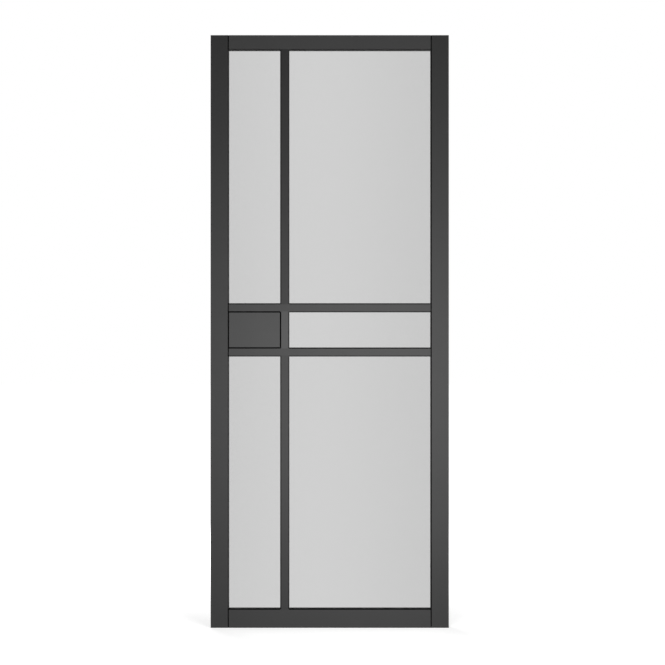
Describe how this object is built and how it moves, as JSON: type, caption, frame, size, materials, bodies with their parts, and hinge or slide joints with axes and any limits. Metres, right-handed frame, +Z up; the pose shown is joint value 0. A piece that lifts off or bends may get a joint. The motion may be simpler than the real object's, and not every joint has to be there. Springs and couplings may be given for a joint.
{
  "type": "glass door",
  "caption": "Framed glass door leaf in black satin lacquer: slim stiles, rails and muntins hold clear panes, with a solid lock block beside one stile.",
  "frame": {"origin": "middle of the foot of the leaf, half way through its thickness", "axes": "+X towards the hinge stile, +Y towards the beaded back, +Z up the leaf"},
  "size_m": [0.82, 0.035, 2.04],
  "materials": {
    "black_lacquer": "satin black lacquer on engineered timber",
    "clear_glass": "flat toughened glass, light neutral grey",
    "gasket_rubber": "matt black glazing rubber",
    "dowel_beech": "plain beech",
    "pin_steel": "bright drawn wire"
  },
  "bodies": {
    "root": {"bead_lower_narrow_bottom": "black_lacquer", "bead_lower_narrow_left": "black_lacquer", "bead_lower_narrow_right": "black_lacquer", "bead_lower_narrow_top": "black_lacquer", "bead_lower_wide_bottom": "black_lacquer", "bead_lower_wide_left": "black_lacquer", "bead_lower_wide_right": "black_lacquer", "bead_lower_wide_top": "black_lacquer", "bead_middle_narrow_bottom": "black_lacquer", "bead_middle_narrow_left": "black_lacquer", "bead_middle_narrow_right": "black_lacquer", "bead_middle_narrow_top": "black_lacquer", "bead_middle_wide_bottom": "black_lacquer", "bead_middle_wide_left": "black_lacquer", "bead_middle_wide_right": "black_lacquer", "bead_middle_wide_top": "black_lacquer", "bead_pins_lower_narrow": "pin_steel", "bead_pins_lower_wide": "pin_steel", "bead_pins_middle_narrow": "pin_steel", "bead_pins_middle_wide": "pin_steel", "bead_pins_upper_narrow": "pin_steel", "bead_pins_upper_wide": "pin_steel", "bead_upper_narrow_bottom": "black_lacquer", "bead_upper_narrow_left": "black_lacquer", "bead_upper_narrow_right": "black_lacquer", "bead_upper_narrow_top": "black_lacquer", "bead_upper_wide_bottom": "black_lacquer", "bead_upper_wide_left": "black_lacquer", "bead_upper_wide_right": "black_lacquer", "bead_upper_wide_top": "black_lacquer", "bottom_rail": "black_lacquer", "bottom_rail_dowels": "dowel_beech", "gasket_lower_narrow": "gasket_rubber", "gasket_lower_wide": "gasket_rubber", "gasket_middle_wide": "gasket_rubber", "gasket_upper_narrow": "gasket_rubber", "gasket_upper_wide": "gasket_rubber", "glass_lower_narrow": "clear_glass", "glass_lower_wide": "clear_glass", "glass_middle_wide": "clear_glass", "glass_upper_narrow": "clear_glass", "glass_upper_wide": "clear_glass", "hinge_stile": "black_lacquer", "lock_block": "black_lacquer", "lock_muntin": "black_lacquer", "lock_stile": "black_lacquer", "lower_mid_rail": "black_lacquer", "lower_muntin": "black_lacquer", "mid_rail_dowels": "dowel_beech", "muntin_dowels": "dowel_beech", "top_rail": "black_lacquer", "top_rail_dowels": "dowel_beech", "upper_mid_rail": "black_lacquer", "upper_muntin": "black_lacquer"}
  },
  "joints": []
}
